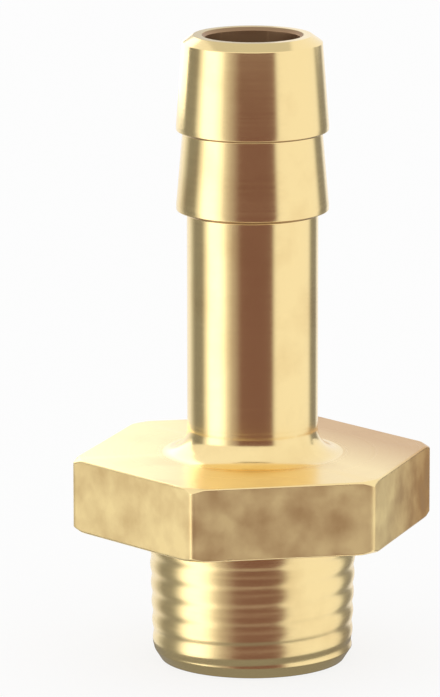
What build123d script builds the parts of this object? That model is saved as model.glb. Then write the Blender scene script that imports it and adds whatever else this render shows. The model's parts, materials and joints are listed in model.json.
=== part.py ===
"""Hose tail: a turned brass fitting with a barbed tail for a hose, a hexagon and a taper pipe thread shank.

Millimetres. The origin is the centre of the shank's end face, and +Z runs along the axis to the hose's end.
The fitting is one piece of metal, so it is one solid. The thread's turns are left off: the shank is the
taper blank at the thread's major diameter.
"""
from build123d import *
import math
import os

NODE = "hose_tail"

# Through bore, and the wall that the hose's stem has around it
bore_diameter = 4.5
bore_break = 0.15  # the edge broken at both mouths of the bore
stem_wall = 0.85

# Shank: nominal 1/8 taper pipe thread, which has its basic major diameter at the gauge plane
gauge_diameter = 9.728
gauge_length = 4.0  # from the end face to the gauge plane
shank_length = 6.5
shank_taper = 1 / 16  # on the diameter
shank_lead_depth = 0.35  # lead chamfer at the end face, measured on the radius
shank_lead_length = 0.55

# Hexagon, with its corners turned off at both ends
across_flats = 15.0
hex_length = 3.5
hex_corner_depth = 0.35  # what the chamfer takes off each corner, measured on the radius
hex_chamfer_angle = 30.0  # degrees from the hexagon's end faces

# Tail for the hose
tail_length = 20.0  # from the hexagon to the tip
root_fillet = 1.2  # where the stem leaves the hexagon
tip_lead_depth = 0.5  # lead chamfer at the tip, measured on the radius
tip_lead_length = 0.35

# Barbs: each is a cone that opens away from the tip, a narrow crest and a steep back
barb_count = 2
barb_pitch = 3.8
first_barb_reach = 4.5  # from the tip to the back of the first crest
barb_foot_height = 0.2  # where a cone starts, above the stem's surface
barb_crest_height = 0.5  # above the stem's surface
barb_crest_width = 0.25
barb_back_angle = 45.0  # degrees from the axis

bore_radius = bore_diameter / 2
stem_radius = bore_radius + stem_wall
hex_top = shank_length + hex_length
tip = hex_top + tail_length


def shank_radius(height):
    """Major radius of the taper at a height above the end face."""
    return (gauge_diameter + (height - gauge_length) * shank_taper) / 2


def turned(outline):
    """The solid that a closed outline of (radius, height) points makes when it is turned about the axis."""
    return revolve(make_face(Plane.XZ * Polyline(*outline, close=True)), Axis.Z)


def shank():
    """Taper blank of the male thread, with the lead chamfer at its end."""
    return turned(
        [
            (0, 0),
            (shank_radius(0) - shank_lead_depth, 0),
            (shank_radius(shank_lead_length), shank_lead_length),
            (shank_radius(shank_length), shank_length),
            (0, shank_length),
        ]
    )


def hexagon():
    """Hexagonal collar: a prism inside a turned blank whose chamfers cut the corners only."""
    prism = extrude(
        Plane.XY.offset(shank_length) * RegularPolygon(across_flats / 2, 6, major_radius=False),
        amount=hex_length,
    )
    corner_radius = across_flats / 2 / math.cos(math.pi / 6)
    crown_radius = corner_radius - hex_corner_depth
    chamfer_length = hex_corner_depth * math.tan(math.radians(hex_chamfer_angle))
    blank = turned(
        [
            (0, shank_length),
            (crown_radius, shank_length),
            (corner_radius, shank_length + chamfer_length),
            (corner_radius, hex_top - chamfer_length),
            (crown_radius, hex_top),
            (0, hex_top),
        ]
    )
    return prism & blank


def barb(crest_back, foot_radius):
    """Outline of a barb from the foot of its steep back, over its crest, to the start of its cone."""
    crest_radius = stem_radius + barb_crest_height
    back_length = (crest_radius - foot_radius) / math.tan(math.radians(barb_back_angle))
    return [
        (foot_radius, crest_back - back_length),
        (crest_radius, crest_back),
        (crest_radius, crest_back + barb_crest_width),
    ]


def tail():
    """Stem, barbs and tip. The barb next to the stem drops to the stem, the others to the cone behind."""
    cone_radius = stem_radius + barb_foot_height
    outline = [(0, hex_top), (stem_radius, hex_top)]
    for place in reversed(range(barb_count)):
        foot_radius = stem_radius if place == barb_count - 1 else cone_radius
        outline += barb(tip - first_barb_reach - place * barb_pitch, foot_radius)
    outline += [
        (cone_radius, tip - tip_lead_length),
        (cone_radius - tip_lead_depth, tip),
        (0, tip),
    ]
    return turned(outline)


def bore():
    """What the through bore takes out, with its mouths widened where their edges are broken."""
    mouth_radius = bore_radius + bore_break
    return turned(
        [
            (0, 0),
            (mouth_radius, 0),
            (bore_radius, bore_break),
            (bore_radius, tip - bore_break),
            (mouth_radius, tip),
            (0, tip),
        ]
    )


def hose_tail():
    """The whole fitting."""
    body = shank() + hexagon() + tail()
    circles_on_hex = body.edges().filter_by(GeomType.CIRCLE).filter_by_position(Axis.Z, hex_top, hex_top)
    stem_root = circles_on_hex.sort_by(SortBy.RADIUS)[0]
    return fillet(stem_root, root_fillet) - bore()


os.makedirs("parts", exist_ok=True)
fitting = hose_tail()
export_step(fitting, f"parts/{NODE}.step")
print(f"{NODE}: volume {fitting.volume:.2f} mm3, height {fitting.bounding_box().size.Z:.2f} mm")
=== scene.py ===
"""Looks of a turned brass hose tail, laid out as an add-on: the fitting, its finishes and its stage."""
import json
import math

import bpy
from bpy.props import FloatProperty, FloatVectorProperty, IntProperty, PointerProperty
from bpy.types import Operator, Panel, PropertyGroup
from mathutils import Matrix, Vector


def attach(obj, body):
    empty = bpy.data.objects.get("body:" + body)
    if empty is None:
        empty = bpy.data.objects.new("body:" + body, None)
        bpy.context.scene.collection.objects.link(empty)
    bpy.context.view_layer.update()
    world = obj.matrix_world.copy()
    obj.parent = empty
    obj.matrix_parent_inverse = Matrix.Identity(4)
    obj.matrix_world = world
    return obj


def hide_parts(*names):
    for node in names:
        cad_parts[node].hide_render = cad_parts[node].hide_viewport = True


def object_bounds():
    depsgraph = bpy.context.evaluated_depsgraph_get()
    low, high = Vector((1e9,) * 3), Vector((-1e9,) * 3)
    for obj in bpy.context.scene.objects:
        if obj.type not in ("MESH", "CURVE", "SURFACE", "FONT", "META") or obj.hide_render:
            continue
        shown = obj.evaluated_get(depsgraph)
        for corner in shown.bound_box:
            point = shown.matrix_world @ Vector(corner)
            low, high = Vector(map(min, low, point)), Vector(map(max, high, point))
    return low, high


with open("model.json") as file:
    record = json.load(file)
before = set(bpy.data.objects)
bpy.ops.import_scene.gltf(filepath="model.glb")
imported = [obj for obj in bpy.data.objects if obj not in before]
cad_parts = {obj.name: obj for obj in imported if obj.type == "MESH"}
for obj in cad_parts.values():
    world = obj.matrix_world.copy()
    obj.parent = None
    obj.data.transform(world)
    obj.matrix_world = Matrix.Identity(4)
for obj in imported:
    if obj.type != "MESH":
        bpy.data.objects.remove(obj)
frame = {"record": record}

bl_info = {
    "name": "Hose Tail",
    "version": (1, 0, 0),
    "blender": (4, 5, 0),
    "location": "View3D > Sidebar > Hose Tail",
    "description": "Builds a turned brass hose tail with its thread, finishes and stage",
    "category": "Object",
}

MM = 0.001  # one millimetre in the scene's metres
NODE = "hose_tail"

# The fixed frame: the solid's box and its mounts give the sizes that the two models share
CAD_LOW, CAD_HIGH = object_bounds()
MOUNTS = {mount["name"]: mount for mount in frame["record"]["mounts"]}
BORE_RADIUS = MOUNTS["flow_bore"]["dims"]["r_mm"] * MM
CREST_RADIUS = MOUNTS["hose_barbs"]["dims"]["r_mm"] * MM
HEIGHT = CAD_HIGH.z - CAD_LOW.z
HALF_FLATS = (CAD_HIGH.y - CAD_LOW.y) / 2

# The studio is a white tent with plain cards stood in it, because polished brass shows what is round it as
# upright bands. Each card has its first and last bearing, in degrees from the camera's side towards its
# right, then the degrees over which it fades into the tent before and after them, its colour and strength.
WHITE, PALE, GREY, BROWN = "#FFFFFF", "#D8D8D8", "#909090", "#806060"
LIT = 2.0  # strength of a softbox, where the tent and a plain card are 1
CARDS = {
    "grey_card_left": (-122, -98, 22, 8, GREY, 1.0),
    "softbox_left": (-80, -60, 8, 15, WHITE, LIT),
    "brown_card_front": (-20, 34, 35, 6, BROWN, 1.0),
    "grey_card_right": (125, 145, 10, 10, GREY, 1.0),
}
CARD_DISTANCE = 300 * MM
CARD_FOOT = -300 * MM
CARD_TOP = 85 * MM  # no taller than the barbs need, so that the hexagon's top sees the tent
CARD_BACK = 125  # bearing beyond which a card is cut lower still
CARD_BACK_TOP = 15 * MM


def linear(hex_colour):
    """An sRGB hex colour as linear red, green and blue."""
    parts = [int(hex_colour[i : i + 2], 16) / 255 for i in (1, 3, 5)]
    return tuple(c / 12.92 if c <= 0.04045 else ((c + 0.055) / 1.055) ** 2.4 for c in parts)


def size(name, description, millimetres):
    """A length that a user may change."""
    return FloatProperty(name=name, description=description, default=millimetres * MM, min=0, unit="LENGTH")


def share(name, description, value):
    """A ratio that a user may change."""
    return FloatProperty(name=name, description=description, default=value)


def angle(name, description, degrees):
    """An angle that a user may change."""
    return FloatProperty(name=name, description=description, default=math.radians(degrees), subtype="ANGLE")


def colour(name, description, hex_colour):
    """A colour that a user may change, from its sRGB hex value."""
    return FloatVectorProperty(
        name=name, description=description, subtype="COLOR", size=3, min=0, default=linear(hex_colour)
    )


class ShankSettings(PropertyGroup):
    """The threaded end."""

    length: size("Length", "From the end face to the hexagon", 6.5)
    gauge_diameter: size("Gauge diameter", "Major diameter at the gauge plane", 9.728)
    gauge_length: size("Gauge length", "From the end face to the gauge plane", 4.0)
    taper: share("Taper", "Growth of the diameter for each unit of length", 1 / 16)
    lead_depth: size("Lead depth", "Lead chamfer at the end, on the radius", 0.35)
    lead_length: size("Lead length", "Lead chamfer at the end, along the axis", 0.55)
    pitch: size("Pitch", "From one turn of the thread to the next", 0.907)
    thread_depth: size("Thread depth", "From crest to root, on the radius", 0.06)
    crest_share: share("Crest share", "How much of the pitch is flat crest", 0.1)
    root_share: share("Root share", "How much of the pitch is flat root", 0.0)
    run_out: size("Run-out", "Length next to the hexagon over which the turns fade", 1.2)


class HexagonSettings(PropertyGroup):
    """The spanner hexagon."""

    length: size("Length", "Along the axis", 3.5)
    corner_depth: size("Corner depth", "What the chamfer takes off each corner", 0.35)
    chamfer_angle: angle("Chamfer angle", "From the hexagon's end faces", 30)
    edge: size("Edge radius", "Wear on the hexagon's edges", 0.1)
    corner: size("Corner radius", "Wear on the six upright corners", 0.2)


class TailSettings(PropertyGroup):
    """The stem, the barbs, the tip and the bore."""

    stem_diameter: size("Stem diameter", "Plain stem behind the barbs", 6.2)
    root_fillet: size("Root fillet", "Where the stem leaves the hexagon", 1.2)
    barb_count: IntProperty(name="Barbs", description="How many barbs grip the hose", default=2, min=2)
    barb_pitch: size("Barb pitch", "From one crest to the next", 3.8)
    first_reach: size("First barb", "From the tip to the back of the first crest", 4.5)
    foot_height: size("Barb foot", "Where a barb's cone starts, above the stem", 0.2)
    crest_width: size("Crest width", "Flat crest of a barb", 0.25)
    back_angle: angle("Back angle", "Back of a barb, from the axis", 70)
    lead_depth: size("Lead depth", "Lead chamfer at the tip, on the radius", 0.5)
    lead_length: size("Lead length", "Lead chamfer at the tip, along the axis", 0.35)
    edge: size("Edge radius", "Burr-free edges of the turned tail", 0.06)
    bore_break: size("Bore edge", "Edge broken at the mouths of the bore", 0.15)


class FinishSettings(PropertyGroup):
    """Colours of the metal, and how its surface was cut."""

    brass: colour("Brass", "Bright turned brass", "#F9E0A4")
    drawn: colour("Drawn brass", "The bar's own skin on the flats", "#F8E2A8")
    # This colour serves the oxidised patches and also the painted side shade
    tarnish_and_shade: colour("Tarnish", "Where the metal has started to brown", "#C89A5C")
    # Painted shade: this darker brown stands for the shade in the recess behind each crest
    grooved: colour("Grooved brass", "The backs of the barbs, where tarnish starts", "#A08060")
    # Painted shade: this darker brown stands for the shade inside the bore
    bored: colour("Bored brass", "The bore, which has browned", "#B09070")
    feed: size("Feed mark", "From one tool mark to the next", 0.16)
    # Painted shade: the direction towards which the finishes draw the metal darker, as light falling off on
    # that side
    painted_shade_direction: angle("Browned side", "Towards the side that has browned most, from +X", 30)


class StageSettings(PropertyGroup):
    """Camera, floor and light."""

    camera_azimuth: angle("Camera azimuth", "Round the axis, from the -Y side towards +X", -11)
    camera_elevation: angle("Camera elevation", "Above the horizon", 11.8)
    camera_distance: size("Camera distance", "From the aim point", 288)
    picture_height: size("Picture height", "Height of the view at the aim point", 33.0)
    aim_height: size("Aim height", "The aim point's height on the axis", 14.97)
    shift_x: share("Shift right", "Share of the picture's height", -0.0467)
    floor_size: size("Floor size", "Side of the square floor", 3000)


def arc(centre, radius, start, end, steps):
    """Points on an arc in the (radius, height) plane, with angles from the outward direction to +Z."""
    turns = [start + (end - start) * step / steps for step in range(steps + 1)]
    return [(centre[0] + radius * math.cos(t), centre[1] + radius * math.sin(t)) for t in turns]


def rounded(corners, radius, steps=4):
    """An outline through corners, each but the two ends rounded to about the radius."""
    points = [corners[0]]
    for before, corner, after in zip(corners, corners[1:], corners[2:]):
        here = Vector(corner)
        to_before, to_after = Vector(before) - here, Vector(after) - here
        turn = math.pi - to_before.angle(to_after)
        reach = min(radius * math.tan(turn / 2), 0.45 * to_before.length, 0.45 * to_after.length)
        first = here + to_before.normalized() * reach
        last = here + to_after.normalized() * reach
        for step in range(steps + 1):
            along = step / steps
            point = first.lerp(here, along).lerp(here.lerp(last, along), along)
            points.append(tuple(point))
    return points + [corners[-1]]


def column_directions(hexagon, between=36):
    """Directions of the mesh's columns round the axis, close together over each corner of the hexagon."""
    sector = math.pi / 3
    fine = math.atan(hexagon.corner / HALF_FLATS)
    directions = []
    for corner in range(6):
        start = corner * sector
        directions += [start + fine * step / 3 for step in range(-3, 4)]
        gap = (sector - 2 * fine) / between
        directions += [start + fine + gap * step for step in range(1, between)]
    return directions


def side_radius(direction, hexagon):
    """Distance from the axis to the hexagon's side in one direction, round its worn corners."""
    off_corner = abs((direction + math.pi / 6) % (math.pi / 3) - math.pi / 6)
    corner_centre = (HALF_FLATS - hexagon.corner) / math.cos(math.pi / 6)
    tangent = math.atan2(hexagon.corner / 2, corner_centre + hexagon.corner * math.cos(math.pi / 6))
    if off_corner >= tangent:
        return HALF_FLATS / math.cos(math.pi / 6 - off_corner)
    across = corner_centre * math.sin(off_corner)
    return corner_centre * math.cos(off_corner) + math.sqrt(hexagon.corner**2 - across**2)


def hexagon_edge(side, face, way, hexagon):
    """Outline from the hexagon's side over its chamfer to an end face: way is 1 for the top, -1 below."""
    edge = hexagon.edge
    normal = math.pi / 2 - hexagon.chamfer_angle
    crown = HALF_FLATS / math.cos(math.pi / 6) - hexagon.corner_depth
    chamfer = crown * math.cos(normal) - edge
    lower = upper = (side - edge, -edge)
    if lower[0] * math.cos(normal) + lower[1] * math.sin(normal) > chamfer:
        upper = ((chamfer + edge * math.sin(normal)) / math.cos(normal), -edge)
        lower = (side - edge, (chamfer - lower[0] * math.cos(normal)) / math.sin(normal))
    points = arc(lower, edge, 0, normal, 3) + arc(upper, edge, normal, math.pi / 2, 3)
    return [(radius, face + way * height) for radius, height in points]


def thread_outline(direction, shank, rows_per_turn=18):
    """Outline of the threaded shank in one direction, from the end face to the hexagon."""
    end_radius = (shank.gauge_diameter - shank.gauge_length * shank.taper) / 2
    rows = round(shank.length / shank.pitch * rows_per_turn)
    points = []
    for row in range(rows + 1):
        height = shank.length * row / rows
        lead = end_radius - shank.lead_depth * (1 - height / shank.lead_length)
        from_crest = abs((height / shank.pitch - direction / math.tau) % 1 - 0.5) * 2
        flank = (from_crest - shank.crest_share) / (1 - shank.crest_share - shank.root_share)
        flank = min(max(flank, 0), 1)
        groove = flank * flank * (3 - 2 * flank) * min(1, (shank.length - height) / shank.run_out)
        thread = end_radius + height * shank.taper / 2 - shank.thread_depth * groove
        points.append((min(thread, lead), height))
    return points


def tail_outline(hexagon_top, tail):
    """Outline from the root fillet over the stem and the barbs to the inner edge of the tip's face."""
    stem = tail.stem_diameter / 2
    cone = stem + tail.foot_height
    crest = CREST_RADIUS
    corners = [(stem, hexagon_top + tail.root_fillet)]
    for place in reversed(range(tail.barb_count)):
        foot = stem if place == tail.barb_count - 1 else cone
        back = HEIGHT - tail.first_reach - place * tail.barb_pitch
        corners += [
            (foot, back - (crest - foot) / math.tan(tail.back_angle)),
            (crest, back),
            (crest, back + tail.crest_width),
        ]
    mouth = BORE_RADIUS + tail.bore_break
    corners += [
        (cone, HEIGHT - tail.lead_length),
        (cone - tail.lead_depth, HEIGHT),
        (mouth, HEIGHT),
        (BORE_RADIUS, HEIGHT - tail.bore_break),
        (BORE_RADIUS, HEIGHT / 2),
    ]
    fillet_centre = (stem + tail.root_fillet, hexagon_top + tail.root_fillet)
    fillet = arc(fillet_centre, tail.root_fillet, 1.5 * math.pi, math.pi, 12)
    return fillet[:-1] + rounded(corners, tail.edge)


def tail_finish(here, after, mouth):
    """Finish of one step of the tail's outline, from its two ends and the radius of the bore's mouth."""
    if after[0] < mouth - 0.01 * MM:
        return "bored"
    # The outline widens upwards only on the backs of the barbs
    return "grooved" if after[0] > here[0] + 0.01 * MM else "turned"


def fitting_outline(direction, shank, hexagon, tail):
    """The fitting's closed outline in one direction, as (finish, points) runs that start in the bore."""
    side = side_radius(direction, hexagon)
    hexagon_top = shank.length + hexagon.length
    mouth = [
        (BORE_RADIUS, HEIGHT / 2),
        (BORE_RADIUS, tail.bore_break),
        (BORE_RADIUS + tail.bore_break, 0),
        (BORE_RADIUS + 2 * tail.bore_break, 0),
    ]
    under = hexagon_edge(side, shank.length, -1, hexagon)[::-1]
    over = hexagon_edge(side, hexagon_top, 1, hexagon)
    tail_points = tail_outline(hexagon_top, tail)
    mouth_radius = BORE_RADIUS + tail.bore_break
    return [
        ("bored", rounded(mouth, tail.edge)),
        ("threaded", thread_outline(direction, shank)),
        ("faced", under[:-1]),
        ("drawn", [under[-1]]),
        ("faced", over),
        *(
            (tail_finish(here, after, mouth_radius), [here])
            for here, after in zip(tail_points, tail_points[1:])
        ),
    ]


def grid_mesh(name, columns, finishes):
    """A closed mesh from the columns' points, with one finish for each row of faces."""
    rows = len(columns[0])
    count = len(columns)
    corners = [point for column in columns for point in column]
    faces = []
    for column in range(count):
        here, after = column * rows, (column + 1) % count * rows
        for row in range(rows):
            above = (row + 1) % rows
            faces.append((here + row, after + row, after + above, here + above))
    mesh = bpy.data.meshes.new(name)
    mesh.from_pydata(corners, [], faces)
    mesh.polygons.foreach_set("material_index", finishes * count)
    mesh.shade_smooth()
    mesh.update()
    return mesh


def build_fitting(settings):
    """The whole fitting as one mesh, with its own finish where it was bored, turned or drawn."""
    columns = []
    for direction in column_directions(settings.hexagon):
        runs = fitting_outline(direction, settings.shank, settings.hexagon, settings.tail)
        cosine, sine = math.cos(direction), math.sin(direction)
        columns.append([(r * cosine, r * sine, h) for _, points in runs for r, h in points])
    materials = {
        "turned": turned_brass(settings.finish),
        "threaded": threaded_brass(settings.finish),
        "faced": faced_brass(settings.finish),
        "grooved": painted_shade_groove_brass(settings.finish),
        "drawn": drawn_brass(settings.finish),
        "bored": painted_shade_bore_brass(settings.finish),
    }
    names = list(materials)
    finishes = [names.index(finish) for finish, points in runs for _ in points]
    fitting = bpy.data.objects.new("fitting", grid_mesh("fitting", columns, finishes))
    for material in materials.values():
        fitting.data.materials.append(material)
    bpy.context.scene.collection.objects.link(fitting)
    weighted = fitting.modifiers.new("even_shading", "WEIGHTED_NORMAL")
    weighted.weight = 90
    return fitting


def node(tree, kind, settings=None, inputs=None):
    """Adds a node with its settings, and sets each input to a value or links it to another node's output."""
    made = tree.nodes.new(kind)
    for name, value in (settings or {}).items():
        setattr(made, name, value)
    for name, value in (inputs or {}).items():
        if isinstance(value, bpy.types.NodeSocket):
            tree.links.new(value, made.inputs[name])
        else:
            made.inputs[name].default_value = value
    return made


def new_material(name, viewport_colour):
    """An empty node material, and its tree."""
    material = bpy.data.materials.new(name)
    material.use_nodes = True
    material.node_tree.nodes.clear()
    material.diffuse_color = (*viewport_colour, 1)
    return material, material.node_tree


def painted_side_shade(tree, place, finish, amount, spread):
    """Adds painted shade to the oxidised patches: a darkening that grows from the axis towards one side of
    the fitting.
    """
    turn = finish.painted_shade_direction
    # It starts about half way out on the stem and is full short of the hexagon's flats
    along = node(
        tree,
        "ShaderNodeVectorMath",
        {"operation": "DOT_PRODUCT"},
        {0: place, 1: (math.cos(turn), math.sin(turn), 0)},
    ).outputs["Value"]
    side = node(
        tree, "ShaderNodeMapRange", inputs={"Value": along, "From Min": 1.5 * MM, "From Max": 6 * MM}
    ).outputs[0]
    return node(
        tree, "ShaderNodeMath", {"operation": "MULTIPLY_ADD"}, {0: side, 1: amount, 2: spread}
    ).outputs[0]


def turned_brass(finish, name="turned_brass", tone=None, brightest=0.12, dullest=0.24, darkened=0.2):
    """Brass bar cut on a lathe: bright, with fine tool marks round the axis, a faint start of oxide in
    patches, and painted shade that darkens one side.
    """
    tone = tone or finish.brass
    material, tree = new_material(name, tone)
    place = node(tree, "ShaderNodeTexCoord").outputs["Object"]
    # Tool marks follow the cut, so they run along the axis on the barrel and outward on the faces
    flat = node(tree, "ShaderNodeVectorMath", {"operation": "MULTIPLY"}, {0: place, 1: (1, 1, 0)})
    outward = node(tree, "ShaderNodeVectorMath", {"operation": "LENGTH"}, {0: flat.outputs[0]})
    height = node(tree, "ShaderNodeSeparateXYZ", inputs={0: place}).outputs["Z"]
    cut = node(tree, "ShaderNodeMath", inputs={0: outward.outputs["Value"], 1: height}).outputs[0]
    # A real feed is 0.05 to 0.1 mm: it is drawn coarser, as finer marks would not show
    marks = node(
        tree,
        "ShaderNodeTexNoise",
        {"noise_dimensions": "1D"},
        {"W": cut, "Scale": 1 / finish.feed, "Detail": 3.0, "Roughness": 0.7},
    ).outputs["Fac"]
    # Oxidised patches about 3 mm across
    patches = node(
        tree, "ShaderNodeTexNoise", inputs={"Vector": place, "Scale": 1 / (3 * MM), "Detail": 4.0}
    ).outputs["Fac"]
    spread = node(
        tree,
        "ShaderNodeMapRange",
        inputs={"Value": patches, "From Min": 0.5, "From Max": 0.8, "To Min": 0.0, "To Max": 0.3},
    ).outputs[0]
    # Painted shade: the given amount darkens one side of the metal
    spread = painted_side_shade(tree, place, finish, darkened, spread)
    base = node(
        tree,
        "ShaderNodeMix",
        {"data_type": "RGBA"},
        {0: spread, 6: (*tone, 1), 7: (*finish.tarnish_and_shade, 1)},
    ).outputs[2]
    roughness = node(
        tree,
        "ShaderNodeMapRange",
        inputs={"Value": marks, "To Min": brightest, "To Max": dullest},
    ).outputs[0]
    bump = node(
        tree, "ShaderNodeBump", inputs={"Strength": 0.25, "Distance": 0.004 * MM, "Height": marks}
    ).outputs[0]
    shader = node(
        tree,
        "ShaderNodeBsdfPrincipled",
        inputs={"Base Color": base, "Metallic": 1.0, "Roughness": roughness, "Normal": bump},
    ).outputs[0]
    node(tree, "ShaderNodeOutputMaterial", inputs={"Surface": shader})
    return material


def threaded_brass(finish):
    """The thread, cut with a die: the same metal, torn a little, so its reflections are softer."""
    return turned_brass(finish, "threaded_brass", brightest=0.18, dullest=0.3)


def faced_brass(finish):
    """The hexagon's ends, faced at a coarse feed: satin, so that they mirror nothing sharply, and with the
    strongest painted side shade.
    """
    return turned_brass(finish, "faced_brass", brightest=0.24, dullest=0.34, darkened=0.9)


def painted_shade_groove_brass(finish):
    """The backs of the barbs, as the grooving tool left them: dull, with a darker brown that paints the
    shade under each crest.
    """
    return turned_brass(finish, "painted_shade_groove_brass", finish.grooved, 0.4, 0.5)


def drawn_brass(finish):
    """The skin of cold-drawn hexagonal bar: duller than cut metal, with faint draw lines along the axis."""
    material, tree = new_material("drawn_brass", finish.drawn)
    place = node(tree, "ShaderNodeTexCoord").outputs["Object"]
    # Draw lines are about 0.2 mm apart and several millimetres long
    stretched = node(
        tree, "ShaderNodeVectorMath", {"operation": "MULTIPLY"}, {0: place, 1: (1, 1, 0.05)}
    ).outputs[0]
    lines = node(
        tree, "ShaderNodeTexNoise", inputs={"Vector": stretched, "Scale": 1 / (0.2 * MM), "Detail": 2.0}
    ).outputs["Fac"]
    patches = node(
        tree, "ShaderNodeTexNoise", inputs={"Vector": place, "Scale": 1 / (1.5 * MM), "Detail": 5.0}
    ).outputs["Fac"]
    spread = node(
        tree,
        "ShaderNodeMapRange",
        inputs={"Value": patches, "From Min": 0.35, "From Max": 0.7, "To Min": 0.0, "To Max": 0.45},
    ).outputs[0]
    # Painted shade: one side of the flats is drawn darker
    spread = painted_side_shade(tree, place, finish, 0.7, spread)
    base = node(
        tree,
        "ShaderNodeMix",
        {"data_type": "RGBA"},
        {0: spread, 6: (*finish.drawn, 1), 7: (*finish.tarnish_and_shade, 1)},
    ).outputs[2]
    bump = node(
        tree, "ShaderNodeBump", inputs={"Strength": 0.3, "Distance": 0.006 * MM, "Height": lines}
    ).outputs[0]
    # Where the skin has rubbed smooth it mirrors more, between duller patches
    roughness = node(
        tree,
        "ShaderNodeMapRange",
        inputs={"Value": patches, "From Min": 0.3, "From Max": 0.7, "To Min": 0.56, "To Max": 0.42},
    ).outputs[0]
    shader = node(
        tree,
        "ShaderNodeBsdfPrincipled",
        inputs={"Base Color": base, "Metallic": 1.0, "Roughness": roughness, "Normal": bump},
    ).outputs[0]
    node(tree, "ShaderNodeOutputMaterial", inputs={"Surface": shader})
    return material


def painted_shade_bore_brass(finish):
    """The drilled bore: rough, with a dark brown that paints the shade inside it."""
    material, tree = new_material("painted_shade_bore_brass", finish.bored)
    place = node(tree, "ShaderNodeTexCoord").outputs["Object"]
    # Drill marks about 0.3 mm apart
    squashed = node(
        tree, "ShaderNodeVectorMath", {"operation": "MULTIPLY"}, {0: place, 1: (0.1, 0.1, 1)}
    ).outputs[0]
    marks = node(
        tree, "ShaderNodeTexNoise", inputs={"Vector": squashed, "Scale": 1 / (0.3 * MM), "Detail": 2.0}
    ).outputs["Fac"]
    roughness = node(
        tree, "ShaderNodeMapRange", inputs={"Value": marks, "To Min": 0.35, "To Max": 0.5}
    ).outputs[0]
    bump = node(
        tree, "ShaderNodeBump", inputs={"Strength": 0.4, "Distance": 0.01 * MM, "Height": marks}
    ).outputs[0]
    shader = node(
        tree,
        "ShaderNodeBsdfPrincipled",
        inputs={
            "Base Color": (*finish.bored, 1),
            "Metallic": 1.0,
            "Roughness": roughness,
            "Normal": bump,
        },
    ).outputs[0]
    node(tree, "ShaderNodeOutputMaterial", inputs={"Surface": shader})
    return material


def card(name, points, faces, tints):
    """A lit reflector card with a linear colour at each point, which only reflections show."""
    mesh = bpy.data.meshes.new(name)
    mesh.from_pydata(points, [], faces)
    layer = mesh.color_attributes.new("tint", "FLOAT_COLOR", "POINT")
    layer.data.foreach_set("color", [part for tint in tints for part in (*tint, 1)])
    material, tree = new_material(name, (1, 1, 1))
    tint = node(tree, "ShaderNodeAttribute", {"attribute_name": "tint"}).outputs["Color"]
    glow = node(tree, "ShaderNodeEmission", inputs={"Color": tint, "Strength": 1.0}).outputs[0]
    node(tree, "ShaderNodeOutputMaterial", inputs={"Surface": glow})
    material.cycles.emission_sampling = "NONE"
    mesh.materials.append(material)
    made = bpy.data.objects.new(name, mesh)
    bpy.context.scene.collection.objects.link(made)
    for ray in ("camera", "diffuse", "transmission", "shadow", "volume_scatter"):
        setattr(made, f"visible_{ray}", False)


def build_card(name, camera_azimuth):
    """One upright card of the ring, one column of its mesh to a degree."""
    start, end, before, after, tone, strength = CARDS[name]
    points, tints, faces = [], [], []
    for bearing in range(start - before, end + after + 1):
        cover = min(1, (bearing - start + before) / before, (end + after - bearing) / after)
        tint = tuple(1 - cover + cover * strength * part for part in linear(tone))
        direction = camera_azimuth + math.radians(bearing)
        x, y = CARD_DISTANCE * math.sin(direction), -CARD_DISTANCE * math.cos(direction)
        top = CARD_BACK_TOP if abs(bearing) > CARD_BACK else CARD_TOP
        points += [(x, y, CARD_FOOT), (x, y, top)]
        tints += [tint, tint]
        if len(points) > 2:
            last = len(points) - 1
            faces.append((last - 3, last - 1, last, last - 2))
    card(name, points, faces, tints)


def build_top_softbox():
    """A white softbox behind on the left, which brightens that side of the hexagon's top."""
    away, low, high = 60 * MM, 19 * MM, 70 * MM
    left, edge, faded = -60 * MM, -4 * MM, 10 * MM
    points = [(x, away, z) for x in (left, edge, faded) for z in (low, high)]
    tints = [(level, level, level) for level in (LIT, LIT, 1.0) for _ in range(2)]
    card("softbox_back", points, [(0, 2, 3, 1), (2, 4, 5, 3)], tints)


def build_canopy():
    """A pale card behind and over the tip, which keeps its face and its lead chamfer from glaring."""
    half, away, near, low, high = 5 * MM, 20 * MM, -4 * MM, 31 * MM, 36 * MM
    points = [(x, y, z) for y, z in ((away, low), (away, high), (near, high)) for x in (-half, half)]
    card("pale_canopy", points, [(0, 1, 3, 2), (2, 3, 5, 4)], [linear(PALE)] * len(points))


def build_painted_shadow_card():
    """A grey card on the floor under the fitting, a painted shadow that stands for the floor in the
    fitting's own shade: it darkens the end of the shank in reflection.
    """
    radius, height, sides = 7.5 * MM, -0.5 * MM, 32
    rim = [math.tau * i / sides for i in range(sides)]
    points = [(radius * math.cos(turn), radius * math.sin(turn), height) for turn in rim]
    card("painted_shadow_card_below", points, [tuple(range(sides))], [linear(GREY)] * sides)


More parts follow.
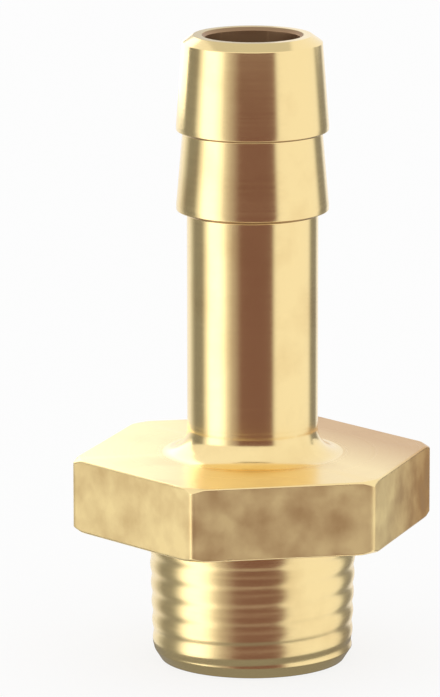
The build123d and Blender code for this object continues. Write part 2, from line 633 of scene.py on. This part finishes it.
def build_floor(settings):
    """A pale floor that keeps the fitting's shadow."""
    half = settings.floor_size / 2
    mesh = bpy.data.meshes.new("floor")
    corners = [(-half, -half, 0), (half, -half, 0), (half, half, 0), (-half, half, 0)]
    mesh.from_pydata(corners, [], [(0, 1, 2, 3)])
    floor = bpy.data.objects.new("floor", mesh)
    material, tree = new_material("white_floor", (1, 1, 1))
    ray = node(tree, "ShaderNodeLightPath").outputs["Is Camera Ray"]
    part = node(tree, "ShaderNodeMath", {"operation": "MULTIPLY"}, {0: ray, 1: 0.8}).outputs[0]
    paper = node(tree, "ShaderNodeBsdfDiffuse", inputs={"Color": (0.9, 0.9, 0.9, 1)}).outputs[0]
    glow = node(tree, "ShaderNodeEmission", inputs={"Color": (1, 1, 1, 1), "Strength": 1.0}).outputs[0]
    mixed = node(tree, "ShaderNodeMixShader", inputs={0: part, 1: paper, 2: glow}).outputs[0]
    node(tree, "ShaderNodeOutputMaterial", inputs={"Surface": mixed})
    mesh.materials.append(material)
    bpy.context.scene.collection.objects.link(floor)
    floor.visible_glossy = False
    floor.visible_shadow = False
    return floor


def build_world():
    """Even white light from all round."""
    world = bpy.data.worlds.new("studio")
    world.use_nodes = True
    world.node_tree.nodes.clear()
    sky = node(
        world.node_tree, "ShaderNodeBackground", inputs={"Color": (1, 1, 1, 1), "Strength": 1.0}
    ).outputs[0]
    node(world.node_tree, "ShaderNodeOutputWorld", inputs={"Surface": sky})
    bpy.context.scene.world = world


def build_camera(settings):
    """The camera, with a lens that frames the picture height at the aim point."""
    data = bpy.data.cameras.new("camera")
    camera = bpy.data.objects.new("camera", data)
    bpy.context.scene.collection.objects.link(camera)
    azimuth, elevation = settings.camera_azimuth, settings.camera_elevation
    back = Vector(
        (
            math.sin(azimuth) * math.cos(elevation),
            -math.cos(azimuth) * math.cos(elevation),
            math.sin(elevation),
        )
    )
    camera.location = Vector((0, 0, settings.aim_height)) + back * settings.camera_distance
    camera.rotation_mode = "QUATERNION"
    camera.rotation_quaternion = back.to_track_quat("Z", "Y")
    # The picture is upright, so the sensor's width lies along its height
    data.lens = data.sensor_width * settings.camera_distance / settings.picture_height
    data.shift_x = settings.shift_x
    data.clip_start = settings.camera_distance / 100
    data.clip_end = settings.camera_distance * 100
    bpy.context.scene.camera = camera


class HOSETAIL_OT_fitting(Operator):
    """Build the fitting over its solid, with its thread, worn edges and finishes"""

    bl_idname = "hosetail.fitting"
    bl_label = "Fitting"

    def execute(self, context):
        fitting = build_fitting(context.scene.hose_tail)
        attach(fitting, "root")
        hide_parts(NODE)
        return {"FINISHED"}


class HOSETAIL_OT_stage(Operator):
    """Build the floor, the light, the reflector cards and the camera"""

    bl_idname = "hosetail.stage"
    bl_label = "Stage"

    def execute(self, context):
        settings = context.scene.hose_tail.stage
        build_world()
        build_floor(settings)
        for name in CARDS:
            build_card(name, settings.camera_azimuth)
        build_top_softbox()
        build_canopy()
        build_painted_shadow_card()
        build_camera(settings)
        context.scene.view_settings.view_transform = "Standard"
        return {"FINISHED"}


class HoseTailSettings(PropertyGroup):
    """Everything that a user would change."""

    shank: PointerProperty(type=ShankSettings)
    hexagon: PointerProperty(type=HexagonSettings)
    tail: PointerProperty(type=TailSettings)
    finish: PointerProperty(type=FinishSettings)
    stage: PointerProperty(type=StageSettings)


class HOSETAIL_PT_panel(Panel):
    """Sidebar panel with the operators and their sizes"""

    bl_idname = "HOSETAIL_PT_panel"
    bl_label = "Hose Tail"
    bl_space_type = "VIEW_3D"
    bl_region_type = "UI"
    bl_category = "Hose Tail"

    def draw(self, context):
        settings = context.scene.hose_tail
        for operator in OPERATORS:
            self.layout.operator(operator.bl_idname)
        for group in ("shank", "hexagon", "tail", "finish", "stage"):
            box = self.layout.box()
            box.label(text=group.capitalize())
            for name in getattr(settings, group).__annotations__:
                box.prop(getattr(settings, group), name)


OPERATORS = (HOSETAIL_OT_fitting, HOSETAIL_OT_stage)
CLASSES = (
    ShankSettings,
    HexagonSettings,
    TailSettings,
    FinishSettings,
    StageSettings,
    HoseTailSettings,
    *OPERATORS,
    HOSETAIL_PT_panel,
)


def register():
    for cls in CLASSES:
        bpy.utils.register_class(cls)
    bpy.types.Scene.hose_tail = PointerProperty(type=HoseTailSettings)


def unregister():
    del bpy.types.Scene.hose_tail
    for cls in reversed(CLASSES):
        bpy.utils.unregister_class(cls)


def main():
    """Builds everything."""
    register()
    bpy.ops.hosetail.fitting()
    bpy.ops.hosetail.stage()
    bpy.context.view_layer.update()


if __name__ == "__main__":
    main()
